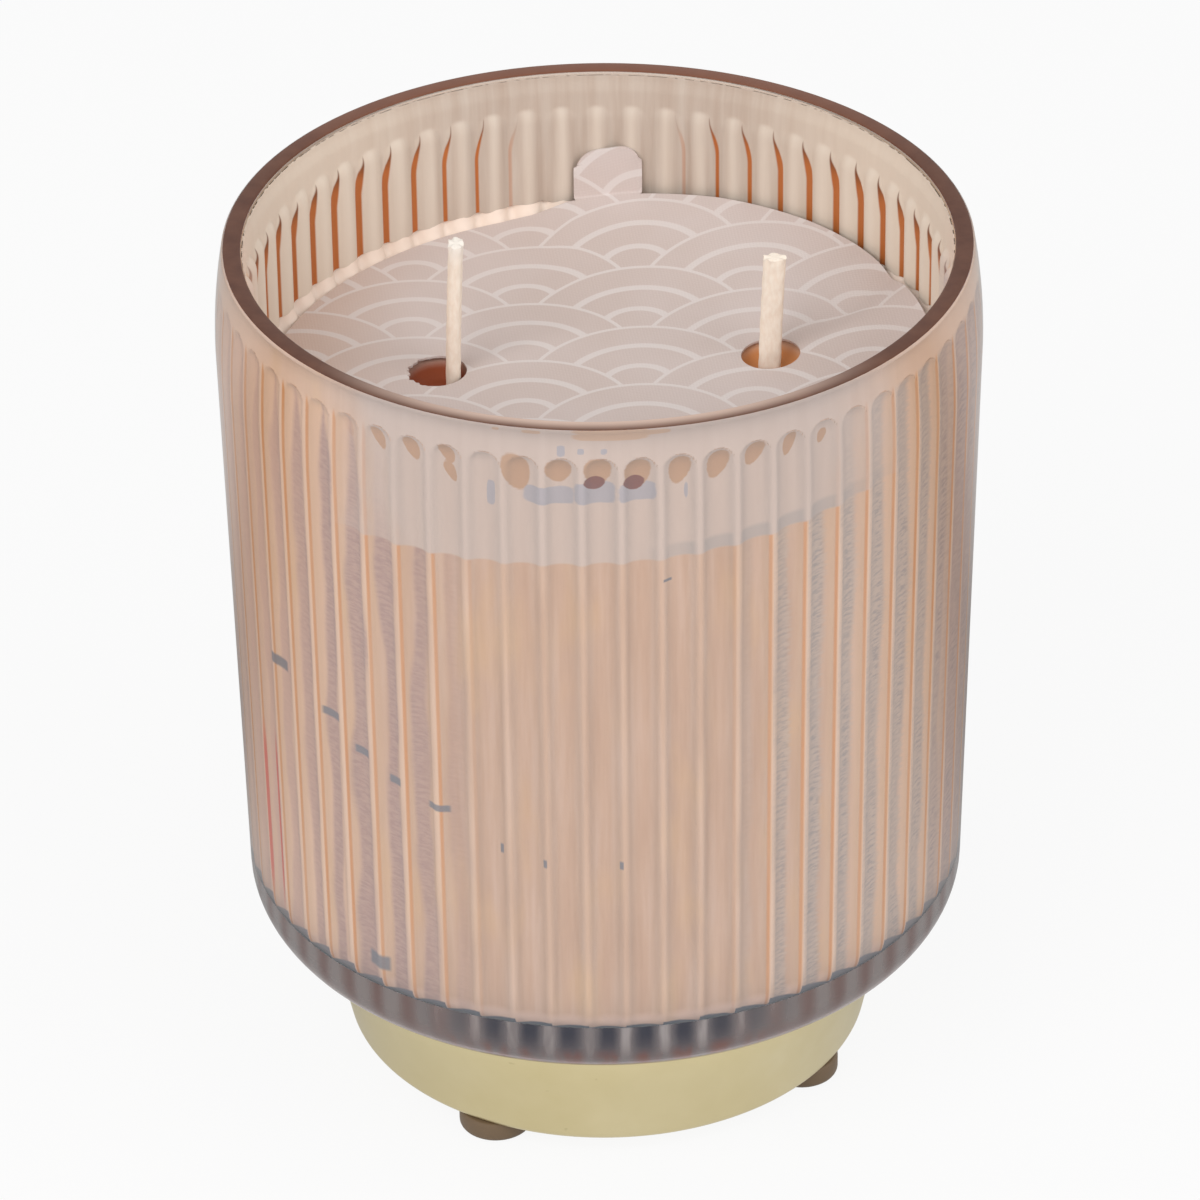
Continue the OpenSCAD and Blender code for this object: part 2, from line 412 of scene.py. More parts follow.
def above_wax(n, x, z):
    """Height over the wax plane."""
    return n.minus(z, n.scaled(x, WAX_SLOPE, WAX_Z))


def corner_material():
    """The thick lower corner, painted with the reflections and shade seen in it, in streaks under the ribs.
    """
    n = Nodes(new_material("corner_painted_reflection"))
    coords = n.coords()
    _, _, z = n.separate(coords)
    azimuth, across, _, sideways = rib_places(n, coords)
    down = n.math("DIVIDE", n.minus(BAND_TOP_Z, z), BAND_TOP_Z - GLASS_Z)
    wobble = n.noise(n.combine(n.times(azimuth, 0.3), 0.0, n.times(z, 90)), 1.0, 3)
    from_rib = n.math("ABSOLUTE", n.scaled(wobble, 0.6, n.minus(across, 0.3)))
    patchy = n.mask(wobble, 0.38, 0.6)

    # Facing the front: painted dark blue reflection under the ribs, painted light between them, ruddy spots
    # lower down
    under_rib = n.mask(from_rib, 1.0, 0.15)
    blue = n.mix(under_rib, linear(172, 162, 162), linear(66, 68, 86))
    bright = n.times(n.band(from_rib, 0.95, 0.02, 0.3), patchy)
    blue = n.mix(n.times(bright, 0.8), blue, linear(226, 216, 214))
    front = n.mix(n.mask(down, 0.1, 0.8), blue, linear(158, 144, 144))
    ruddy = n.times(under_rib, n.band(down, 0.62, 0.04, 0.24), n.mask(wobble, 0.66, 0.46))
    front = n.mix(n.times(ruddy, 0.9), front, linear(160, 84, 64))

    # Facing the sides: pale lobes of painted reflection under the ribs over a mauve foot
    lobe = n.times(n.mask(from_rib, 1.0, 0.15), n.mask(down, 0.9, 0.3))
    aside = n.mix(lobe, linear(152, 120, 114), linear(180, 168, 165))
    colour = n.mix(n.mask(sideways, 0.25, 0.6), front, aside)
    # Painted shade: darker towards the underside
    colour = n.mix(n.mask(down, 0.7, 1.0), colour, linear(118, 98, 97))
    return n.output(n.principled(colour, {"Transmission Weight": 0.6, "IOR": 1.45, "Roughness": 0.1}))


def glass_material():
    """Lustre glass: a pale amber body under a thin bright film. Lamps shine through it."""
    n = Nodes(new_material("lustre_glass"))
    settings = {
        "Transmission Weight": 1.0, "IOR": 1.5, "Roughness": 0.05,
        "Thin Film Thickness": 62, "Thin Film IOR": 1.8,
    }
    body = n.principled((0.72, 0.59, 0.50), settings)
    clear = n.add("ShaderNodeBsdfTransparent")
    clear.inputs["Color"].default_value = (0.98, 0.97, 0.96, 1)
    path = n.add("ShaderNodeLightPath")
    lit = n.larger(path.outputs["Is Shadow Ray"], path.outputs["Is Diffuse Ray"])
    tint = n.add("ShaderNodeVolumeAbsorption")
    tint.inputs["Color"].default_value = (0.81, 0.53, 0.19, 1)
    tint.inputs["Density"].default_value = 25
    return n.output(n.mix_shader(lit, body, clear.outputs[0]), tint.outputs[0])


def rim_material():
    """The ground rim, where the lustre shows brown, with painted light making it paler at the front."""
    n = Nodes(new_material("lustre_rim"))
    coords = n.coords()
    x, y, _ = n.separate(coords)
    tone = n.noise(coords, 350, 3)
    colour = n.ramp(tone, [(0.3, linear(82, 48, 34)), (0.7, linear(98, 62, 46))])
    # Painted light: paler at the front, where light comes through the rim from behind
    front = n.times(n.mask(y, -30 * MM, -47 * MM), n.mask(n.length(x, y), 48.8 * MM, 46.2 * MM))
    colour = n.mix(front, colour, linear(212, 184, 168))
    colour = n.mix(n.times(n.mask(y, 15 * MM, 45 * MM), 0.5), colour, linear(142, 94, 74))
    grain = n.bump(n.noise(coords, 2500, 2), 0.1, 0.05 * MM)
    return n.output(n.principled(colour, {"Roughness": 0.45, "Specular IOR Level": 0.2}, grain))


# Marks between wax and glass: azimuth in degrees from the front, height in mm, half sizes
# of both, lean in degrees per mm
# Air pockets: painted bluish reflection where the wax stands off the glass
AIR_POCKET_REFLECTIONS = (
    (-61.5, 72.5, 2.2, 0.8, 0), (-48, 70, 1.9, 0.6, 0), (-41.5, 66.5, 1.5, 0.6, 0),
    (-35, 64, 1.2, 0.6, 0), (-27, 62, 1.9, 0.5, 0), (-39.5, 34, 2.1, 1.1, 0),
    (-16.5, 57.5, 0.3, 0.7, 0), (-9.5, 56, 0.3, 0.6, 0), (2.5, 56, 0.3, 0.6, 0), (10, 99, 0.7, 0.2, 0),
)
RUDDY_LINES = ((-68.5, 46, 0.5, 12, 0), (-64.5, 46, 0.6, 12, 0))
# Bare spots in the film: painted shade of the inside seen through bare glass
BARE_OVAL_SHADE = (
    (-42, 115, 0.9, 1.4, 0.5), (-36, 115, 1.1, 1.5, 0.5), (-30, 115, 1.3, 1.6, 0.4),
    (-24, 115.5, 1.2, 1.4, 0.4), (-23.5, 113, 1, 1.3, 0.5), (-13, 114.5, 2.1, 2.7, 0.2),
    (-6.5, 115, 2, 1.7, 0), (-0.5, 115, 2.1, 2, 0), (5.5, 114.5, 2, 2.2, -0.1),
    (12, 114.5, 1.7, 2, -0.2), (18, 114.5, 1.7, 2, -0.3), (24, 115, 1.5, 1.7, -0.4),
    (30, 115, 1, 1.7, -0.3), (36, 114.5, 0.8, 1, -0.3),
)
# Bare strips by the rim: the same painted shade
BARE_STRIP_SHADE = (
    (1.5, 120, 5.8, 0.5, 0), (-10.5, 120.5, 1.5, 0.3, 0), (-16, 120.5, 0.6, 0.3, 0),
    (7.5, 120.5, 3.2, 0.4, 0), (-6, 121, 2.2, 0.3, 0),
)
# Painted darker shade at the lower edges of the middle ovals
OVAL_EDGE_SHADE = ((-1, 113.3, 1.6, 0.9, 0.1), (5, 113.2, 1.6, 1, 0.1))
# Thin air under the film: painted bluish reflection
AIR_STRIP_REFLECTIONS = (
    (-17, 111, 0.7, 1.7, 0), (-8, 111.5, 3.9, 1.2, 0), (-1, 112, 3.1, 1.5, 0), (5.5, 112, 2.8, 1.3, 0),
    (13, 111.5, 0.3, 1.1, 0), (-6, 118, 0.6, 0.8, 0), (-3, 118, 0.5, 0.4, 0), (0.5, 118, 0.5, 0.4, 0),
    (-5, 115.5, 0.5, 0.4, 0),
)


def mark_field(azimuth, height, marks, power):
    """Scaled distance to the nearest mark: 1 on its edge. A low power gives eggs, a high one boxes."""
    nearest = np.full(azimuth.shape, 9.0)
    for spot_az, spot_z, half_az, half_z, lean in marks:
        up = (height - spot_z) / half_z
        wide = half_az * (1 + 0.2 * np.clip(up, -1, 1)) if power < 3 else half_az
        aside = (azimuth - spot_az + lean * (height - spot_z)) / wide
        nearest = np.minimum(nearest, (np.abs(aside) ** power + np.abs(up) ** power) ** (1 / power))
    return nearest


MARK_FIELDS = {
    "bare_oval_shade": (BARE_OVAL_SHADE, 2), "bare_strip_shade": (BARE_STRIP_SHADE, 4), "oval_edge_shade": (OVAL_EDGE_SHADE, 2),
    "air_strip_reflections": (AIR_STRIP_REFLECTIONS, 6),
}


def painted_marks(n, colour, azimuth, height, marks, strength, tone):
    """Adds soft-edged boxes of another tone."""
    for spot_az, spot_z, half_az, half_z, _ in marks:
        inside = n.times(
            n.band(azimuth, spot_az, 0.8 * half_az, 0.4 * half_az),
            n.band(height, spot_z, 0.7 * half_z, 0.6 * half_z),
        )
        colour = n.mix(n.times(inside, strength), colour, tone)
    return colour


def smear_colour(n, streak, fine):
    """Pale wax smeared on the wall, with painted shade of the inside seen through bare spots, darker shade
    at their lower edges, and painted reflection over thin air under it.
    """
    colour = n.mix(streak, linear(205, 194, 193), linear(220, 212, 213))
    wobble = n.times(n.minus(fine, 0.5), 0.25)
    tones = (
        ("air_strip_reflections", 0.75, linear(168, 176, 202)),
        ("bare_oval_shade", 0.9, linear(194, 158, 126)),
        ("bare_strip_shade", 0.8, linear(212, 180, 152)),
        ("oval_edge_shade", 0.95, linear(124, 56, 34)),
    )
    for name, strength, tone in tones:
        inside = n.mask(n.plus(n.attribute(name), wobble), 1.08, 0.92)
        colour = n.mix(n.times(inside, strength), colour, tone)
    return colour


def rib_marks(n, colour, coords, height, fine):
    """What the ribs show where wax has shrunk off their flanks: painted reflection, mauve on the left and
    grey on the right, an amber line by the outer groove, and a pale line past it."""
    azimuth, _, outward, sideways = rib_places(n, coords)
    slow = n.noise(n.combine(n.times(azimuth, 0.12), 0.0, n.times(height, 0.04)), 1.0, 2)
    left = n.mask(azimuth, 5, -15)
    streaked = n.mask(fine, 0.36, 0.64)
    plain = colour
    warm = n.times(n.mask(outward, 0.1, 0.8), n.mask(sideways, 0.3, 0.6))
    colour = n.mix(n.times(warm, 0.4), colour, linear(238, 204, 164))

    # Painted reflection off the shrunk flanks: from the inner groove on the right, a band amid the rib on
    # the left
    edge = n.plus(n.scaled(sideways, 1.1, -0.45), n.scaled(slow, 0.9, -0.45))
    into = n.minus(n.scaled(streaked, 0.2, edge), outward)
    on_right = n.mask(into, 0.0, 0.45)
    drift = n.minus(outward, n.scaled(slow, 1.8, -1.1))
    narrower = n.times(n.mask(height, 106, RIB_TIP_MM), 0.45)
    on_left = n.mask(n.plus(n.math("ABSOLUTE", drift), narrower), 0.7, 0.3)
    far = n.times(n.mask(sideways, 0.86, 0.97), n.scaled(left, -0.4, 1))
    reach = n.larger(n.times(on_right, n.minus(1, left)), n.times(on_left, left))
    shrunk_flank_reflection = n.times(n.larger(reach, far), n.mask(sideways, 0.3, 0.55))
    grey = n.mix(streaked, linear(180, 174, 177), linear(202, 194, 191))
    mauve = n.mix(streaked, linear(172, 145, 147), linear(191, 166, 164))
    tone = n.mix(n.larger(left, n.times(far, 0.7)), grey, mauve)
    paler = n.times(left, n.mask(sideways, 0.72, 0.96), 0.85)
    tone = n.mix(paler, tone, linear(228, 200, 190))
    colour = n.mix(n.times(shrunk_flank_reflection, 0.85), colour, tone)
    # Bluish specks of the same painted reflection on the right
    speck_rows = n.times(n.mask(slow, 0.42, 0.55), n.mask(fine, 0.5, 0.42))
    specks = n.times(speck_rows, n.band(into, 0.5, 0.2, 0.25), n.mask(azimuth, 22, 32))
    colour = n.mix(n.times(specks, 0.3), colour, linear(128, 134, 152))

    amber = n.times(n.band(outward, 0.83, 0.03, 0.11), n.mask(sideways, 0.28, 0.5))
    colour = n.mix(n.times(amber, n.scaled(slow, 1.2, 0.25)), colour, linear(222, 158, 92))
    past_groove = n.math("ABSOLUTE", n.math("WRAP", n.minus(outward, 1.1), 1.0, -1.0))
    strength = n.scaled(n.mask(sideways, 0.2, 0.5), 0.5, 0.22)
    pale = n.times(n.mask(past_groove, 0.26, 0.1), n.mask(slow, 0.25, 0.7), strength)
    colour = n.mix(pale, colour, linear(242, 218, 200))
    return n.mix(n.mask(height, RIB_TIP_MM, RIB_TIP_MM - 1.5), plain, colour)


def back_wall_colour(n, coords, height, streak):
    """The film on the wall behind the cover: pale, with painted highlights on the rib crests and amber
    blades of painted light between the ribs.
    """
    azimuth, across, outward, sideways = rib_places(n, coords)
    colour = n.ramp(streak, [(0.3, linear(186, 167, 152)), (0.7, linear(202, 188, 175))])
    colour = n.mix(n.times(n.mask(sideways, 0.3, 0.9), 0.8), colour, linear(230, 214, 196))
    # Painted highlight down each rib crest
    below_tip = n.mask(height, RIB_TIP_MM + 0.2, RIB_TIP_MM - 0.7)
    painted_crest_highlight = n.times(n.mask(n.math("ABSOLUTE", across), 0.6, 0.0), below_tip)
    colour = n.mix(n.times(painted_crest_highlight, 0.4), colour, linear(234, 222, 207))
    # Amber blades of painted light seen through the glass at the groove edges, darker at their tips
    uneven = n.noise(n.combine(n.times(azimuth, 0.3), 0.0, 0.0), 1.0, 1)
    depth = n.minus(n.scaled(uneven, 3.0, RIB_TIP_MM - 2.2), height)
    bend = n.times(n.mask(depth, 6.0, -1.0), 0.5)
    past_groove = n.math("ABSOLUTE", n.plus(n.math("WRAP", n.minus(outward, 1.0), 1.0, -1.0), bend))
    widest = n.scaled(n.mask(sideways, 0.3, 0.8), 0.16, 0.10)
    width = n.times(n.mask(depth, -0.5, 5.0), widest)
    blade = n.times(
        n.mask(n.minus(past_groove, width), 0.05, -0.05),
        n.mask(depth, -0.2, 0.4),
        n.mask(sideways, 0.2, 0.34),
    )
    amber = n.mix(streak, linear(166, 88, 42), linear(196, 120, 66))
    return n.mix(blade, colour, n.mix(n.mask(depth, 4.0, 0.5), amber, linear(112, 68, 46)))


def wax_material():
    """Cream wax: pale on top with painted shade in the wells, peach against the glass, with painted
    reflection where it has shrunk off the ribs.
    """
    n = Nodes(new_material("wax"))
    coords = n.coords()
    x, y, z = n.separate(coords)
    azimuth, across, outward, sideways = rib_places(n, coords)
    height = n.times(z, 1 / MM)

    # Top, with painted shade in the wells round the wick feet
    cloud = n.noise(coords, 60, 4)
    top = n.ramp(cloud, [(0.3, linear(238, 218, 202)), (0.7, linear(245, 228, 214))])
    for (hole_x, hole_y), tone in zip(HOLES, (linear(138, 64, 32), linear(206, 138, 84))):
        away = n.length(n.minus(x, hole_x), n.minus(y, hole_y))
        top = n.mix(n.mask(away, 1.25 * WELL_R, 0.75 * WELL_R), top, tone)

    # Sides: upright streaks, paler round the sides
    tall = n.combine(n.times(azimuth, 0.16), 0.0, n.times(height, 0.012))
    streak = n.noise(tall, 3.0, 4, 0.6)
    peach = [(0.3, linear(202, 172, 151)), (0.5, linear(211, 184, 165)), (0.72, linear(220, 198, 186))]
    side = n.ramp(streak, peach)
    side = n.mix(n.times(n.mask(sideways, 0.5, 0.9), 0.9), side, linear(240, 214, 196))
    side = n.mix(n.mask(height, BORE_FLOOR_MM + 3.5, BORE_FLOOR_MM + 2), side, linear(234, 212, 204))
    blotch = n.combine(n.times(azimuth, 0.13), 7.0, n.times(height, 0.05))
    yellow = n.mask(n.noise(blotch, 1.0, 2), 0.5, 0.75)
    side = n.mix(n.times(yellow, 0.4), side, linear(232, 200, 150))
    fine = n.noise(n.combine(n.times(azimuth, 0.45), 0.0, n.times(height, 2.4)), 1.0, 3, 0.65)
    side = rib_marks(n, side, coords, height, fine)
    # Painted shade and reflection below the wax's stepped lower edge: dark blue facing the front, grey at
    # the sides
    step = n.times(n.minus(1, outward), n.scaled(sideways, 1.0, 0.15))
    bare = n.minus(n.scaled(fine, 0.5, n.plus(step, BORE_FLOOR_MM + 0.6)), height)
    side = n.mix(n.mask(bare, -0.1, 0.25), side, n.mix(sideways, linear(58, 68, 98), linear(150, 150, 164)))
    # Painted reflections of the air pockets between wax and glass
    side = painted_marks(n, side, azimuth, height, AIR_POCKET_REFLECTIONS, 0.85, linear(112, 120, 140))
    side = painted_marks(n, side, azimuth, height, RUDDY_LINES, 0.85, linear(226, 84, 56))

    # The smear above the wax's edge
    lip_edge = n.scaled(n.mask(azimuth, 10, 60), 1.4 * MM, 0.75 * MM)
    over_edge = n.minus(above_wax(n, x, z), lip_edge)
    thin_lip = n.times(
        n.band(over_edge, 0.9 * MM, 0.6 * MM, 0.8 * MM),
        n.mask(azimuth, 4, 16),
        n.mask(n.math("ABSOLUTE", across), 0.95, 0.6),
    )
    smear = n.mix(n.times(thin_lip, 0.7), smear_colour(n, streak, fine), linear(182, 180, 186))
    patchy = n.scaled(cloud, 24, n.minus(azimuth, 12))
    past_edge = n.times(
        n.mask(over_edge, -0.15 * MM, 0.25 * MM),
        n.mask(patchy, -46, -32),
        n.mask(patchy, 56, 34),
    )
    side = n.mix(past_edge, side, smear)
    film = n.attribute("film")
    behind = n.times(film, n.mask(y, -7 * MM, 10 * MM))
    side = n.mix(behind, side, back_wall_colour(n, coords, height, streak))

    # Upright skins are shaded partly as a smooth wall, so the ribs don't show twice
    normal_x, normal_y, normal_z = n.separate(n.add("ShaderNodeTexCoord").outputs["Normal"])
    facing = n.math("SIGN", n.scaled(normal_x, x, n.times(normal_y, y)))
    upright = n.times(n.mask(normal_z, 0.6, 0.35), n.mask(n.length(x, y), 43.5 * MM, 44 * MM))
    outside = n.larger(film, n.times(upright, n.scaled(facing, 0.5, 0.5)))
    grained = n.bump(n.noise(coords, 900, 3), 0.15, 0.2 * MM)
    to_world = n.add("ShaderNodeVectorTransform", vector_type="NORMAL")
    to_world.convert_from = "OBJECT"
    to_world.convert_to = "WORLD"
    n.link(n.combine(n.times(x, facing), n.times(y, facing), 0.0), to_world.inputs[0])
    blend = n.add("ShaderNodeMix", data_type="VECTOR")
    n.link(n.times(outside, n.scaled(facing, 0.2, 0.6)), blend.inputs[0])
    n.link(grained, blend.inputs[4])
    n.link(to_world.outputs[0], blend.inputs[5])
    colour = n.mix(outside, top, side)
    return n.output(n.principled(colour, {"Roughness": 0.5, "Specular IOR Level": 0.3}, blend.outputs[1]))


def scallop_lines(n, uv):
    """Rows of overlapping scallops, each with rings: 1 on a line, 0 between."""
    scale_r = 15.0
    row_h = 0.5 * scale_r
    u, v, _ = n.separate(uv)
    across = n.times(u, SHEET_SPAN / MM / (2 * scale_r))
    up = n.times(v, SHEET_SPAN / MM)
    row = n.math("FLOOR", n.math("DIVIDE", up, row_h))
    chosen = None
    for step in (1, 0, -1):
        this_row = n.plus(row, step)
        shift = n.times(n.math("MODULO", n.plus(this_row, 100), 2), 0.5)
        local_x = n.times(n.minus(n.math("FRACT", n.plus(across, shift)), 0.5), 2 * scale_r)
        local_y = n.minus(up, n.times(this_row, row_h))
        away = n.length(local_x, local_y)
        if chosen is None:
            chosen = away
        else:
            covers = n.math("LESS_THAN", away, scale_r)
            keep = n.times(chosen, n.minus(1, covers))
            chosen = n.plus(n.times(away, covers), keep)
    ring = n.math("PINGPONG", n.plus(chosen, 0.6), 2.6)
    return n.mask(ring, 0.68, 0.42)


def paper_material():
    """Matt printed paper with a linen grain and a scallop print a little lighter than its ground, and
    painted light: lighter at the front, warmer at the left.
    """
    n = Nodes(new_material("printed_paper"))
    uv = n.add("ShaderNodeTexCoord").outputs["UV"]
    lines = scallop_lines(n, uv)
    cloud = n.noise(uv, 5, 3)
    ground = n.ramp(cloud, [(0.35, linear(202, 186, 179)), (0.65, linear(207, 193, 188))])
    u, v, _ = n.separate(uv)
    # Painted light: the ground lighter towards the front and warmer, as bounced light, towards the left
    ground = n.mix(n.times(n.mask(v, 0.42, 0.2), 0.7), ground, linear(211, 200, 199))
    ground = n.mix(n.times(n.mask(u, 0.3, 0.12), 0.6), ground, linear(210, 183, 166))
    printed = n.mix(n.times(lines, 0.75), ground, linear(221, 213, 210))
    weave_a = n.math("SINE", n.times(n.plus(u, n.times(v, 0.12)), TAU * 260))
    weave_b = n.math("SINE", n.times(n.minus(v, n.times(u, 0.12)), TAU * 260))
    rough = n.noise(uv, 420, 2)
    weave = n.plus(n.times(n.plus(weave_a, weave_b), 0.16), rough)
    colour = n.mix(n.times(n.mask(weave, 0.25, 0.95), 0.2), printed, linear(222, 212, 207))
    linen = n.bump(weave, 0.25, 0.08 * MM)
    return n.output(n.principled(colour, {"Roughness": 0.8, "Specular IOR Level": 0.2}, linen))


def cotton_material():
    """Waxed cotton braid, whiter at its cut end."""
    n = Nodes(new_material("cotton_wick"))
    coords = n.coords()
    _, _, z = n.separate(coords)
    fibre = n.noise(n.stretched(coords, (1, 1, 0.35)), 2600, 3)
    colour = n.ramp(fibre, [(0.3, linear(239, 222, 204)), (0.7, linear(246, 234, 219))])
    colour = n.mix(n.mask(z, 116.5 * MM, 121 * MM), colour, linear(244, 236, 226))
    return n.output(n.principled(colour, {"Roughness": 0.7}, n.bump(fibre, 0.15, 0.1 * MM)))


def brass_material():
    """Satin pale brass with faint smudges and small dark specks."""
    n = Nodes(new_material("satin_brass"))
    coords = n.coords()
    smudge = n.noise(coords, 45, 4, 0.6)
    pale = [(0.3, linear(212, 197, 151)), (0.6, linear(220, 206, 164)), (0.8, linear(226, 214, 178))]
    colour = n.ramp(smudge, pale)
    speck = n.mask(n.noise(coords, 420, 1), 0.74, 0.80)
    colour = n.mix(n.times(speck, 0.5), colour, linear(140, 126, 80))
    brushed = n.noise(n.stretched(coords, (1, 1, 14)), 400, 2)
    settings = {"Metallic": 1.0, "Roughness": n.scaled(smudge, 0.15, 0.28)}
    return n.output(n.principled(colour, settings, n.bump(brushed, 0.06, 0.05 * MM)))


def simple_material(name, colour, roughness, metallic=0.0):
    """A plain finish with a little cloudiness and grain."""
    n = Nodes(new_material(name))
    coords = n.coords()
    dark = tuple(0.88 * c for c in colour)
    cloudy = n.mix(n.noise(coords, 80), dark, colour)
    grained = n.bump(n.noise(coords, 400), 0.2, 0.1 * MM)
    return n.output(n.principled(cloudy, {"Roughness": roughness, "Metallic": metallic}, grained))


# Pieces


def outer_wall_rings():
    """Half section of the glass outside, from the underside to the rim."""
    foot_r = GLASS_R - WALL_TAPER
    flat_r = foot_r - CORNER_R
    shoulder_z = RIM_Z - SHOULDER_H
    bend_r = (SHOULDER_H ** 2 + RIM_INSET ** 2) / (2 * RIM_INSET)
    rings = [(flat_r * s, GLASS_Z) for s in (0.35, 0.7, 0.9, 1.0)]
    rings += arc(flat_r, GLASS_Z + CORNER_R, CORNER_R, -84, 0, 14)
    low_z = GLASS_Z + CORNER_R
    wall_z = [BAND_TOP_Z] + list(np.linspace(BAND_TOP_Z, shoulder_z, 12)[1:])
    rings += [(foot_r + WALL_TAPER * (z - low_z) / (shoulder_z - low_z), z) for z in wall_z]
    for z in np.linspace(shoulder_z, RIM_Z - RIM_BEVEL, 10)[1:]:
        rings.append((GLASS_R - bend_r + math.sqrt(bend_r ** 2 - (z - shoulder_z) ** 2), z))
    return rings


def build_glass(material, rim, lower_corner):
    stack = RingStack()
    coarse = FINE_ANGLES[::FINE // COARSE]
    stack.add([(0, 0, GLASS_Z)])
    rings = outer_wall_rings()
    for r, z in rings:
        stack.add(ring_points(r, z, coarse))
        if z <= BAND_TOP_Z:
            corner_end = len(stack.faces)
    rim_edge_r = rings[-1][0]
    for r, z in arc(rim_edge_r - RIM_BEVEL, RIM_Z - RIM_BEVEL, RIM_BEVEL, 22.5, 67.5, 3):
        stack.add(ring_points(r, z, coarse))
    rim_start = len(stack.faces)
    stack.add(ring_points(rim_edge_r - RIM_BEVEL, RIM_Z, coarse))
    stack.add(ring_points(0.5 * (rim_edge_r + BORE_R), RIM_Z, coarse))
    for r, z in arc(BORE_R + RIM_BEVEL, RIM_Z - RIM_BEVEL, RIM_BEVEL, 90, 180, 5):
        stack.add(ring_points(r, z, FINE_ANGLES))
    rim_end = len(stack.faces) - 2 * FINE
    dome_z = RIB_TIP_Z - RIB_R
    heights = list(np.linspace(RIM_Z - 2 * RIM_BEVEL, RIB_TIP_Z + 0.1 * MM, 5))
    heights += [dome_z + RIB_R * math.cos(t) for t in np.linspace(0.06, 0.5, 14) * math.pi]
    heights += list(np.linspace(dome_z, BORE_Z + 2 * INNER_CORNER_R, 16)[1:])
    heights += list(BORE_Z + np.linspace(2, 1, 6)[1:] * INNER_CORNER_R)
    heights += corner_heights(9)[1:]
    for z in heights:
        stack.add(ring_points(rib_surface_r(z, FINE_ANGLES), z, FINE_ANGLES))
    floor_r = BORE_R - INNER_CORNER_R - RIB_DEPTH
    for s in (0.97, 0.8, 0.45):
        stack.add(ring_points(floor_r * s, BORE_Z, coarse))
    stack.add([(0, 0, BORE_Z)])
    obj = new_mesh_object("jar_glass", stack.verts, stack.faces, material)
    obj.data.materials.append(rim)
    obj.data.materials.append(lower_corner)
    for face in obj.data.polygons[rim_start:rim_end]:
        face.material_index = 1
    for face in obj.data.polygons[:corner_end]:
        face.material_index = 2
    return obj


def inside_loop(points, loop):
    """Which points lie inside a closed loop, by crossings."""
    px, py = points[:, 0], points[:, 1]
    result = np.zeros(len(points), bool)
    for (x0, y0), (x1, y1) in zip(loop, loop[1:] + loop[:1]):
        if y0 == y1:
            continue
        crosses = (y0 > py) != (y1 > py)
        result ^= crosses & (px < (x1 - x0) * (py - y0) / (y1 - y0) + x0)
    return result


def clear_of(points, loop, distance):
    gaps = points[:, None, :] - np.array(loop)[None, :, :]
    return np.min(np.sum(gaps ** 2, axis=2), axis=1) > distance ** 2


def fill_sheet(loops, inner):
    """Triangles of a flat sheet whose edge is loops[0] and whose holes are the rest.
    Returns points, triangles and edges."""
    flat = [tuple(p) for loop in loops for p in loop]
    edges = []
    start = 0
    for loop in loops:
        n = len(loop)
        edges += [(start + i, start + (i + 1) % n) for i in range(n)]
        start += n
    flat += [tuple(p) for p in inner]
    result = delaunay_2d_cdt([Vector(p) / MM for p in flat], edges, [], 0, 1e-5)
    flat = [(p.x * MM, p.y * MM) for p in result[0]]
    middles = np.array([[sum(flat[i][k] for i in f) / 3 for k in (0, 1)] for f in result[2]])
    keep = inside_loop(middles, loops[0])
    for hole in loops[1:]:
        keep &= ~inside_loop(middles, hole)
    tris = [tuple(f) for f, k in zip(result[2], keep) if k]
    once = set()
    for t in tris:
        for a, b in zip(t, t[1:] + t[:1]):
            if (b, a) in once:
                once.remove((b, a))
            else:
                once.add((a, b))
    return flat, tris, sorted(once)


def thick_sheet(over, under, tris, edge):
    """A closed skin from two copies of a sheet's points."""
    count = len(over)
    faces = list(tris)
    faces += [(c + count, b + count, a + count) for a, b, c in tris]
    faces += [(b, a, a + count, b + count) for a, b in edge]
    return list(over) + list(under), faces


def wax_plane(x):
    return WAX_Z + WAX_SLOPE * x


def well_depth(x, y):
    """How far the wax dips round the wick feet."""
    dip = 0.0
    for hole_x, hole_y in HOLES:
        away = np.hypot(x - hole_x, y - hole_y)
        dip = dip + WELL_DEPTH * (1 - smooth_step(0.45 * WELL_R, 1.15 * WELL_R, away))
    return dip


def wax_top_ring(r, angles, lip):
    x = r * np.cos(angles)
    y = r * np.sin(angles)
    ripple = 0.05 * MM * np.sin(900 * x + 300 * y) * np.sin(700 * y - 200 * x)
    z = wax_plane(x) + lip + ripple - well_depth(x, y)
    return np.stack([x, y, z], axis=1).tolist()


def lip_height(angles):
    """Ragged height of the wax edge up the wall; higher at the back left and most at the right front."""
    back_left = smooth_step(0.2, 0.95, np.cos(angles - math.radians(128)))
    right = smooth_step(0.25, 0.9, np.cos(angles + math.radians(25)))
    ragged = np.sin(17 * angles) * np.sin(41 * angles + 1) + 0.6 * np.sin(97 * angles + 2)
    return WAX_LIP * (0.7 + 2.3 * back_left + 1.6 * right + 0.18 * ragged)


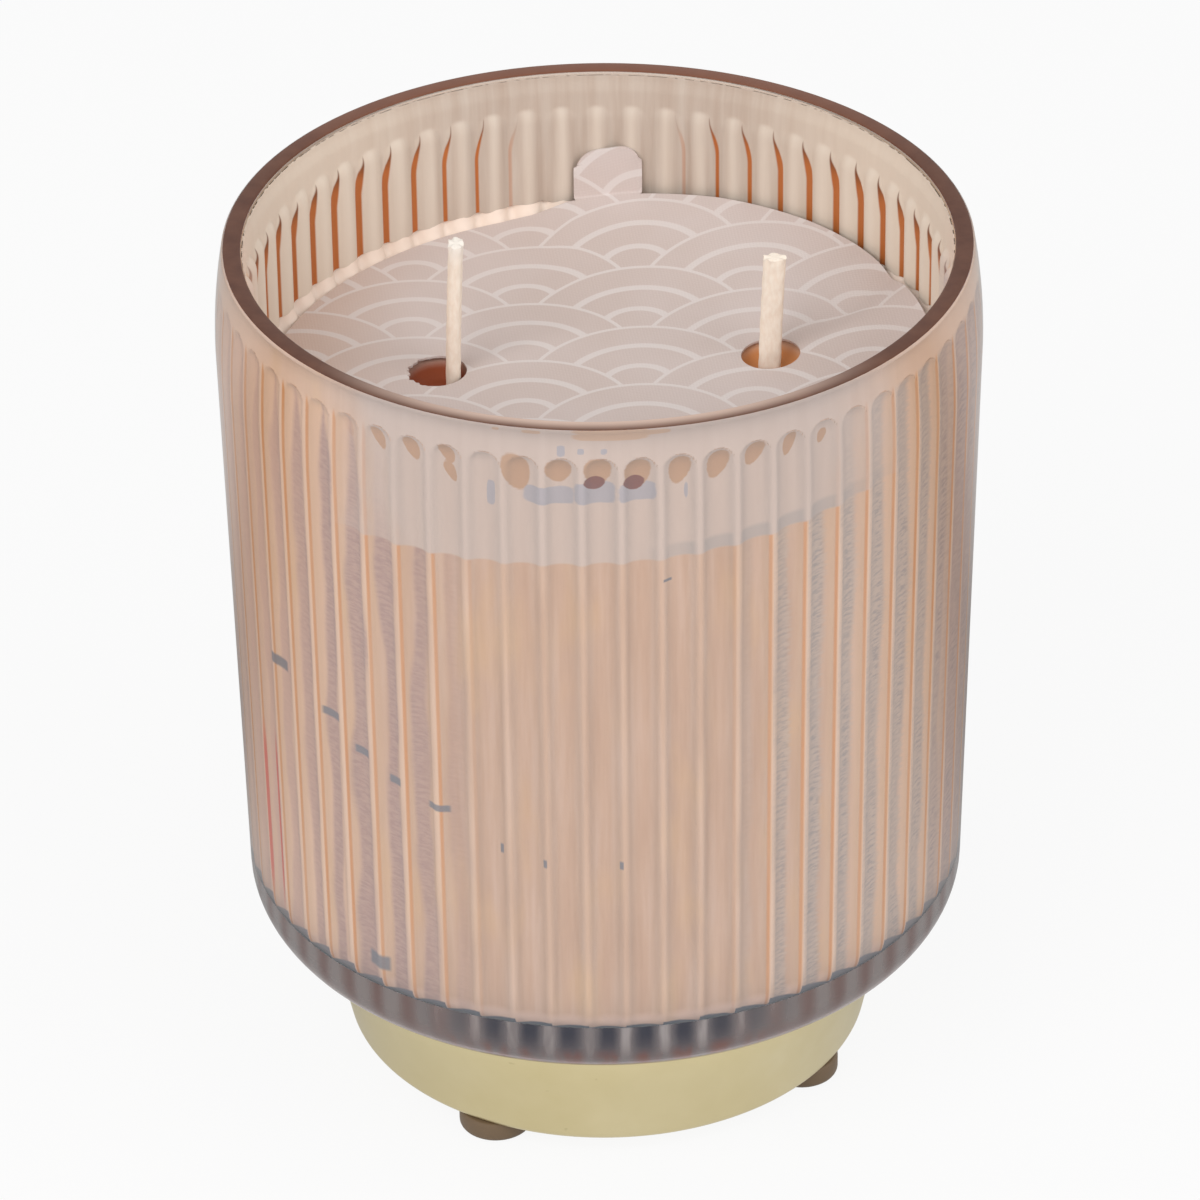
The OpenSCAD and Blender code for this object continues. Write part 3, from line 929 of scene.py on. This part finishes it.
def film_rows():
    """Heights of the wax film above the wax, row by row: close rows where it crosses the rib tips."""
    angles = FINE_ANGLES
    low = wax_plane(BORE_R * np.cos(angles)) + lip_height(angles) - 0.5 * MM
    across = angles * BORE_R
    wave = np.sin(across * 900) * np.sin(across * 310 + 1) + 0.5 * np.sin(across * 2300)
    ends = smooth_step(0, 0.2, angles - angles[0]) * smooth_step(0, 0.2, angles[-1] - angles)
    front = smooth_step(0.2, -0.3, np.sin(angles))
    high = RIM_Z - (0.55 + 0.35 * front - 0.12 * front * wave * ends) * MM
    rows = [low + s * (FILM_EVEN_Z - low) for s in np.linspace(0, 1, 8)]
    rows += [np.full(angles.shape, z) for z in np.linspace(FILM_EVEN_Z, RIM_Z - 1.2 * MM, 44)[1:]]
    return rows + [high]


def add_film(stack):
    """Adds the film as a closed skin; returns its points' azimuths in degrees and heights in mm."""
    rows = film_rows()
    stack.last = None
    first = len(stack.verts)
    for z in rows:
        stack.add(ring_points(rib_surface_r(z, FINE_ANGLES) + FILM_OVERLAP, z, FINE_ANGLES))
    pooled = POOL_SHARE * smooth_step(-0.1, 0.35, np.sin(FINE_ANGLES))
    for z in rows[::-1]:
        wall_r = rib_surface_r(z, FINE_ANGLES)
        filled = pooled * smooth_step(RIM_Z - 0.9 * MM, RIM_Z - 3 * MM, z) * (wall_r - (BORE_R - RIB_DEPTH))
        stack.add(ring_points(wall_r + FILM_OVERLAP - FILM_T - filled, z, FINE_ANGLES))
    stack.join(stack.last, list(range(first, first + FINE)))
    azimuth = np.degrees((FINE_ANGLES + TAU / 4 + math.pi) % TAU - math.pi)
    heights = np.concatenate(rows + rows[::-1]) / MM
    return np.tile(azimuth, 2 * len(rows)), heights


def build_wax(material):
    stack = RingStack()
    coarse = FINE_ANGLES[::FINE // COARSE]
    floor_z = BORE_Z - WAX_OVERLAP
    stack.add([(0, 0, floor_z)])
    floor_r = BORE_R - INNER_CORNER_R - RIB_DEPTH
    for s in (0.45, 0.8, 0.97):
        stack.add(ring_points(floor_r * s, floor_z, coarse))
    for z in corner_heights(9)[::-1][:-1]:
        stack.add(ring_points(rib_surface_r(z, FINE_ANGLES) + WAX_OVERLAP, z - WAX_OVERLAP, FINE_ANGLES))
    wall_r = rib_surface_r(WAX_Z, FINE_ANGLES) + WAX_OVERLAP
    lip = lip_height(FINE_ANGLES)
    top_z = wax_plane(BORE_R * np.cos(FINE_ANGLES)) + lip
    even_z = BORE_Z + 2 * INNER_CORNER_R
    for z in np.linspace(BORE_Z + INNER_CORNER_R, even_z, 6):
        stack.add(ring_points(rib_surface_r(z, FINE_ANGLES) + WAX_OVERLAP, z, FINE_ANGLES))
    for s in np.linspace(0, 1, 10)[1:]:
        stack.add(ring_points(wall_r, even_z + s * (top_z - even_z), FINE_ANGLES))
    for inset in (0.3, 0.8, 1.5, 2.4):
        stack.add(wax_top_ring(wall_r - inset * MM, FINE_ANGLES, lip * max(0, 1 - inset / 2) ** 3))
    for r in np.linspace(BORE_R - 4.5 * MM, 0.8 * MM, 60):
        stack.add(wax_top_ring(r, coarse, 0.0))
    stack.add([(0, 0, WAX_Z)])
    base = len(stack.verts)
    azimuth, height = add_film(stack)
    obj = new_mesh_object("wax", stack.verts, stack.faces, material, 60)
    for name, (marks, power) in MARK_FIELDS.items():
        field = mark_field(azimuth, height, marks, power)
        layer = obj.data.attributes.new(name, "FLOAT", "POINT")
        layer.data.foreach_set("value", np.concatenate([np.full(base, 9.0), field]))
    layer = obj.data.attributes.new("film", "FLOAT", "POINT")
    layer.data.foreach_set("value", np.concatenate([np.zeros(base), np.ones(len(azimuth))]))
    return obj


def cover_outline():
    """The flat cover's edge, anticlockwise: up round the tab, then round the disc."""
    def on_disc(x):
        return math.sqrt(COVER_R ** 2 - x ** 2)
    tab_top = COVER_R + TAB_LONG
    points = []
    for y in np.arange(on_disc(TAB_RIGHT), tab_top - TAB_CORNER_R, 0.4 * MM):
        points.append((TAB_RIGHT, y))
    points += arc(TAB_RIGHT - TAB_CORNER_R, tab_top - TAB_CORNER_R, TAB_CORNER_R, 0, 90, 10)
    points += arc(TAB_LEFT + TAB_CORNER_R, tab_top - TAB_CORNER_R, TAB_CORNER_R, 90, 180, 10)
    for y in np.arange(tab_top - TAB_CORNER_R, on_disc(TAB_LEFT), -0.4 * MM)[1:]:
        points.append((TAB_LEFT, y))
    start = math.degrees(math.atan2(on_disc(TAB_LEFT), TAB_LEFT))
    end = math.degrees(math.atan2(on_disc(TAB_RIGHT), TAB_RIGHT)) + 360
    points += arc(0, 0, COVER_R, start, end, 260)[:-1]
    return points


def hole_edge(index):
    """A punched hole; the left one is torn a little at its left side."""
    x, y = HOLES[index]
    points = []
    for a in even_angles(64)[::-1]:
        torn = max(0.0, -math.cos(a)) if index == 0 else 0.0
        r = HOLE_R + torn * MM * (0.22 * math.sin(23 * a) + 0.16 * math.sin(9 * a + 1))
        points.append((x + r * math.cos(a), y + r * math.sin(a)))
    return points


# Curl of the cover: angle round its edge in degrees, lift of the edge in mm
EDGE_LIFTS = (
    (-180, 0.55), (-150, 0.3), (-120, 0.15), (-60, 0.15), (-35, 0.3), (-15, 0.9), (0, 1.4), (17, 1.9),
    (28, 1.8), (38, 2.5), (48, 2.9), (68, 3.2), (83, 2.85), (95, 2.1), (101, 0.7), (107, 0.35),
    (130, 0.4), (160, 0.55), (180, 0.55),
)


def cover_lift(x, y):
    """How far the curled paper stands off the wax, in metres."""
    r = np.hypot(x, y)
    angles, lifts = zip(*EDGE_LIFTS)
    at_edge = np.interp(np.degrees(np.arctan2(y, x)), angles, lifts) * MM
    curl = at_edge * np.clip((r - 16 * MM) / (COVER_R - 16 * MM), 0, 1) ** 1.8
    # A crease runs from beside the right hole to the back right
    along = ((x - 26 * MM) * 14 + (y - 6 * MM) * 15) / 20.5
    beside = ((x - 26 * MM) * 15 - (y - 6 * MM) * 14) / 20.5
    crease = smooth_step(0, 9 * MM, along) * np.exp(-(beside / (2.2 * MM)) ** 2)
    return np.maximum(curl - 0.8 * MM * crease, 0.15 * curl)


def cover_point(x, y):
    """Where a point of the flat cover lies on the candle."""
    fold_y = math.sqrt(COVER_R ** 2 - min(abs(x), COVER_R) ** 2)
    past = y - fold_y
    if TAB_LEFT <= x <= TAB_RIGHT and past > 0:
        turn = min(past / FOLD_R, FOLD_ANGLE)
        rest = max(past - FOLD_R * FOLD_ANGLE, 0.0)
        out = FOLD_R * math.sin(turn) + rest * math.cos(FOLD_ANGLE)
        up = FOLD_R * (1 - math.cos(turn)) + rest * math.sin(FOLD_ANGLE)
        base = wax_plane(x) + COVER_LIE + float(cover_lift(x, fold_y))
        return Vector((x, fold_y + out, base + up))
    return Vector((x, y, wax_plane(x) + COVER_LIE + float(cover_lift(x, y))))


def cover_mesh_points(outline, holes):
    """Edge points first, then inner points: an even grid, with close rows where the tab folds."""
    step = 1.5 * MM
    rows = []
    for j, y in enumerate(np.arange(-COVER_R, COVER_R + TAB_LONG, step * 0.866)):
        shift = 0.5 * step if j % 2 else 0.0
        rows += [(x + shift, y) for x in np.arange(-COVER_R, COVER_R, step)]
    for past in np.arange(-0.3, 1.3, 0.16) * MM:
        for x in np.linspace(TAB_LEFT, TAB_RIGHT, 14)[1:-1]:
            rows.append((x, math.sqrt(COVER_R ** 2 - x ** 2) + past))
    points = np.array(rows)
    keep = inside_loop(points, outline) & clear_of(points, outline, 0.3 * MM)
    for hole in holes:
        keep &= ~inside_loop(points, hole) & clear_of(points, hole, 0.4 * MM)
    return points[keep].tolist()


def build_cover(material):
    outline = cover_outline()
    holes = [hole_edge(0), hole_edge(1)]
    flat, tris, edge = fill_sheet([outline] + holes, cover_mesh_points(outline, holes))
    under = [cover_point(x, y) for x, y in flat]
    nudge = 0.05 * MM
    over = []
    for (x, y), p in zip(flat, under):
        along_x = cover_point(x + nudge, y) - cover_point(x - nudge, y)
        along_y = cover_point(x, y + nudge) - cover_point(x, y - nudge)
        over.append(p + along_x.cross(along_y).normalized() * COVER_T)
    verts, faces = thick_sheet(over, under, tris, edge)
    obj = new_mesh_object("dust_cover_paper", verts, faces, material, 35)
    layer = obj.data.uv_layers.new(name="flat")
    for loop in obj.data.loops:
        x, y = flat[loop.vertex_index % len(flat)]
        layer.data[loop.index].uv = (x / SHEET_SPAN + 0.5, y / SHEET_SPAN + 0.5)
    return obj


def build_wick(name, node, lean, material):
    """A flat cotton braid from its tab to its cut end; it leans a little above the wax."""
    low, high = (Vector(c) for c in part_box(node))
    half_x, half_y = 0.5 * (high.x - low.x), 0.5 * (high.y - low.y)
    centre_x, centre_y = 0.5 * (low.x + high.x), 0.5 * (low.y + high.y)
    angles = even_angles(40)
    stack = RingStack()
    stack.add([(centre_x, centre_y, low.z)])
    shown_z = WAX_Z - 4 * MM
    heights = list(np.linspace(low.z, shown_z, 12)) + list(np.linspace(shown_z, high.z, 110)[1:])
    for z in heights:
        share = max(0.0, (z - shown_z) / (high.z - shown_z))
        cos, sin = np.cos(angles), np.sin(angles)
        round_x = np.sign(cos) * np.abs(cos) ** 0.75
        round_y = np.sign(sin) * np.abs(sin) ** 0.75
        left = np.cos(3 * angles + TAU * z / (3.2 * MM))
        right = np.cos(3 * angles - TAU * z / (3.2 * MM) + 1)
        braid = 0.03 * MM * np.maximum(left, right) if z > shown_z else 0.0
        fray = smooth_step(0.955, 1.0, share) * 0.10 * MM * np.sin(7 * angles + 2)
        swell = braid + fray - 0.03 * MM
        x = centre_x + lean * share ** 1.4 + (half_x + swell) * round_x
        y = centre_y + (half_y + swell) * round_y
        ragged = 0.12 * MM * np.sin(5 * angles) * smooth_step(0.97, 1.0, share)
        stack.add(np.stack([x, y, np.full(angles.shape, z) + ragged - 0.12 * MM * share], axis=1).tolist())
    last = np.array(stack.verts[-len(angles):])
    middle = last.mean(axis=0)
    stack.add((middle + 0.55 * (last - middle) + [0, 0, 0.08 * MM]).tolist())
    stack.add([tuple(middle)])
    return new_mesh_object(name, stack.verts, stack.faces, material, 60)


def finish_piece(obj, body, slot, *nodes):
    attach(obj, body)
    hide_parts(*nodes)


def lathe(name, section, material, segments=192):
    """Turns a half section of (radius, height) points that starts and ends on the axis."""
    stack = RingStack()
    angles = even_angles(segments)
    for r, z in section:
        stack.add([(0, 0, z)] if r == 0 else ring_points(r, z, angles))
    return new_mesh_object(name, stack.verts, stack.faces, material, 40)


def build_pedestal(material):
    low_z, high_z = CUP_LOW[2], CUP_HIGH[2]
    flare = 3.9 * MM
    edge = 1.8 * MM
    sheet = 1.0 * MM
    flange = 5 * MM
    low_r = CUP_TOP_R - flare
    section = [(0, low_z), (0.5 * low_r, low_z)]
    section += arc(low_r - edge, low_z + edge, edge, -90, -10, 10)
    section += [(low_r + flare * s, low_z + edge + (high_z - low_z - edge) * s) for s in (0.1, 0.5, 0.95)]
    section += [(CUP_TOP_R - 0.3 * MM, high_z - 0.1 * MM), (CUP_TOP_R - 0.6 * MM, high_z)]
    section += [(CUP_TOP_R - flange, high_z), (CUP_TOP_R - flange, high_z - sheet)]
    section += [(CUP_TOP_R - 1.5 * sheet, high_z - sheet), (low_r - sheet, low_z + 2 * sheet)]
    section += [(low_r - 2 * sheet, low_z + sheet), (0, low_z + sheet)]
    return lathe("pedestal", section, material)


def build_foot(name, node, material):
    low, high = (Vector(c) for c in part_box(node))
    r = 0.5 * (high.x - low.x)
    bevel = 0.9 * MM
    section = [(0, 0), (0.6 * r, 0), (r - bevel, 0)]
    section += arc(r - bevel, bevel, bevel, -70, 0, 6)
    section += [(r, high.z - 0.5 * MM), (r - 0.2 * MM, high.z - 0.1 * MM)]
    section += [(r - 0.4 * MM, high.z), (0, high.z)]
    obj = lathe(name, section, material, 64)
    centre = 0.5 * (low + high)
    obj.data.transform(Matrix.Translation((centre.x, centre.y, 0)))
    return obj


def build_camera():
    """The photograph's view: a long lens, a good way above the rim, level but for a small roll."""
    distance = 0.91
    aim_z = 65 * MM
    elevation = math.radians(32.35)
    roll = math.radians(0.72)
    pixels = 1200
    focal_pixels = 6803
    shift_right, shift_down = 2.6, 10.5
    back = Vector((0, -math.cos(elevation), math.sin(elevation)))
    up = Vector((0, math.sin(elevation), math.cos(elevation)))
    right = Vector((1, 0, 0))
    data = bpy.data.cameras.new("camera")
    data.sensor_width = 36
    data.lens = 36 * focal_pixels / pixels
    data.shift_x = -shift_right / pixels
    data.shift_y = shift_down / pixels
    data.clip_start = 0.01
    camera = bpy.data.objects.new("camera", data)
    x_axis = right * math.cos(roll) - up * math.sin(roll)
    y_axis = right * math.sin(roll) + up * math.cos(roll)
    spot = Vector((0, 0, aim_z)) + back * distance
    camera.matrix_world = Matrix((
        (x_axis.x, y_axis.x, back.x, spot.x),
        (x_axis.y, y_axis.y, back.y, spot.y),
        (x_axis.z, y_axis.z, back.z, spot.z),
        (0, 0, 0, 1),
    ))
    bpy.context.collection.objects.link(camera)
    bpy.context.scene.camera = camera


def seen_directly(n):
    """1 for rays that show the background itself: to the camera, in a reflection or through glass."""
    path = n.add("ShaderNodeLightPath")
    glossy = n.larger(path.outputs["Is Glossy Ray"], path.outputs["Is Transmission Ray"])
    return n.larger(path.outputs["Is Camera Ray"], glossy)


def build_stage():
    """White floor that keeps a soft shadow, with painted shade behind the jar where reflections see it, a
    white world and two soft lamps.
    """
    n = Nodes(new_material("floor"))
    shade = n.add("ShaderNodeBsdfDiffuse")
    shade.inputs["Color"].default_value = (0.7, 0.7, 0.7, 1)
    white = n.add("ShaderNodeEmission")
    path = n.add("ShaderNodeLightPath")
    # Painted shade: reflections see the floor's white dimmed behind the jar, less so further back
    mirrored = n.minus(path.outputs["Is Glossy Ray"], path.outputs["Is Transmission Ray"])
    _, y, _ = n.separate(n.coords())
    near = n.scaled(n.mask(y, 80 * MM, 160 * MM), -0.4, 1)
    behind = n.mask(y, -80 * MM, 80 * MM)
    painted_shade_in_mirror = n.times(n.larger(mirrored, 0), behind, near, 1 - FLOOR_IN_MIRROR)
    n.link(n.minus(1, painted_shade_in_mirror), white.inputs["Strength"])
    mat = n.output(n.mix_shader(n.times(seen_directly(n), 0.9), shade.outputs[0], white.outputs[0]))
    floor = new_mesh_object("floor", [(-3, -3, 0), (3, -3, 0), (3, 3, 0), (-3, 3, 0)], [(0, 1, 2, 3)], mat)

    world = bpy.data.worlds.new("studio")
    world.use_nodes = True
    bpy.context.scene.world = world
    w = Nodes(world)
    background = world.node_tree.nodes["Background"]
    background.inputs["Color"].default_value = (1, 1, 1, 1)
    w.link(w.scaled(seen_directly(w), 0.45, 0.55), background.inputs["Strength"])

    def lamp(name, spot, aim, size, power):
        data = bpy.data.lights.new(name, "AREA")
        data.shape = "DISK"
        data.size = size
        data.energy = power
        obj = bpy.data.objects.new(name, data)
        obj.location = spot
        obj.rotation_euler = (Vector(aim) - Vector(spot)).to_track_quat("-Z", "Y").to_euler()
        obj.visible_glossy = False
        obj.visible_transmission = False
        bpy.context.collection.objects.link(obj)

    lamp("key", (-0.5, -0.8, 0.8), (0, 0, 0.06), 0.9, 8)
    lamp("fill", (0.7, -0.5, 0.6), (0, 0, 0.06), 0.9, 4)


glass = build_glass(glass_material(), rim_material(), corner_material())
finish_piece(glass, "candle", "lustre_glass", "glass_jar")
wax = build_wax(wax_material())
finish_piece(wax, "candle", "wax", "wax_fill")
cover = build_cover(paper_material())
finish_piece(cover, "dust_cover", "printed_paper", "dust_cover")
cotton = cotton_material()
for side, lean in (("left", 0.8 * MM), ("right", 0.7 * MM)):
    wick = build_wick("braid_" + side, "wick_" + side, lean, cotton)
    finish_piece(wick, "candle", "cotton_wick", "wick_" + side)
pedestal = build_pedestal(brass_material())
finish_piece(pedestal, "candle", "satin_brass", "pedestal_cup")
rubber = simple_material("bumper_rubber", linear(112, 92, 70), 0.5)
for side in ("front_left", "front_right", "back_right", "back_left"):
    foot = build_foot("bumper_" + side, "foot_" + side, rubber)
    finish_piece(foot, "candle", "bumper_rubber", "foot_" + side)

hidden_finishes = {
    "wick_tab": simple_material("tin", linear(190, 192, 196), 0.3, 1.0),
    "wick_sticker": simple_material("foam_sticker", linear(236, 236, 230), 0.8),
    "pedestal_glue": simple_material("clear_glue", linear(222, 222, 212), 0.25),
}
for node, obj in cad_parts.items():
    for start, finish in hidden_finishes.items():
        if node.startswith(start):
            obj.data.materials.clear()
            obj.data.materials.append(finish)

build_camera()
build_stage()
bpy.context.scene.view_settings.view_transform = "Standard"
